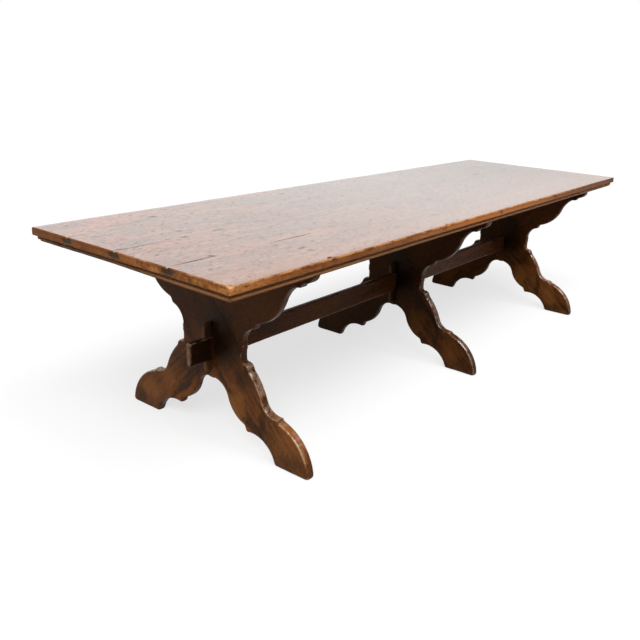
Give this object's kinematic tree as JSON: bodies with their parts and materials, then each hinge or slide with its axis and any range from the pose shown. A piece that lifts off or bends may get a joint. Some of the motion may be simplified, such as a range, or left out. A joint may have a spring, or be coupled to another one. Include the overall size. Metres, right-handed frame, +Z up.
{
  "type": "trestle dining table",
  "caption": "Long plank dining table on scrolled X trestles, tied by a through stretcher that tapered wooden keys lock.",
  "frame": {"origin": "centre of the footprint, on the floor", "axes": "+X along the table to its far end, +Y across it to its back, +Z up"},
  "size_m": [3.07, 0.962, 0.765],
  "materials": {
    "top_wood": "old wax, worn",
    "tongue_wood": "old wax, worn",
    "edge_wood": "old wax, worn",
    "batten_wood": "old wax, worn",
    "trestle_wood": "old wax, worn",
    "bearer_wood": "old wax, worn",
    "peg_wood": "old wax, worn",
    "stretcher_wood": "old wax, worn",
    "key_wood": "old wax, worn",
    "nail_iron": "dull, forged"
  },
  "bodies": {
    "table": {"plank_front": "top_wood", "plank_front_middle": "top_wood", "plank_back_middle": "top_wood", "plank_back": "top_wood", "tongue_front": "tongue_wood", "tongue_middle": "tongue_wood", "tongue_back": "tongue_wood", "edge_moulding_front": "edge_wood", "edge_moulding_back": "edge_wood", "edge_moulding_near": "edge_wood", "edge_moulding_far": "edge_wood", "cross_batten_near": "batten_wood", "cross_batten_middle": "batten_wood", "cross_batten_far": "batten_wood", "batten_nails": "nail_iron", "near_trestle_front_board": "trestle_wood", "near_trestle_rear_board": "trestle_wood", "middle_trestle_front_board": "trestle_wood", "middle_trestle_rear_board": "trestle_wood", "far_trestle_front_board": "trestle_wood", "far_trestle_rear_board": "trestle_wood", "near_trestle_bearer": "bearer_wood", "middle_trestle_bearer": "bearer_wood", "far_trestle_bearer": "bearer_wood", "locating_pegs": "peg_wood", "stretcher": "stretcher_wood"},
    "near_key": {"near_key": "key_wood"},
    "middle_near_key": {"middle_near_key": "key_wood"},
    "middle_far_key": {"middle_far_key": "key_wood"},
    "far_key": {"far_key": "key_wood"}
  },
  "joints": [
    {"name": "near_key_lift", "type": "slide", "parent": "table", "child": "near_key", "axis": [0, 0, 1], "range_m": [0, 0.15]},
    {"name": "middle_near_key_lift", "type": "slide", "parent": "table", "child": "middle_near_key", "axis": [0, 0, 1], "range_m": [0, 0.15]},
    {"name": "middle_far_key_lift", "type": "slide", "parent": "table", "child": "middle_far_key", "axis": [0, 0, 1], "range_m": [0, 0.15]},
    {"name": "far_key_lift", "type": "slide", "parent": "table", "child": "far_key", "axis": [0, 0, 1], "range_m": [0, 0.15]}
  ]
}
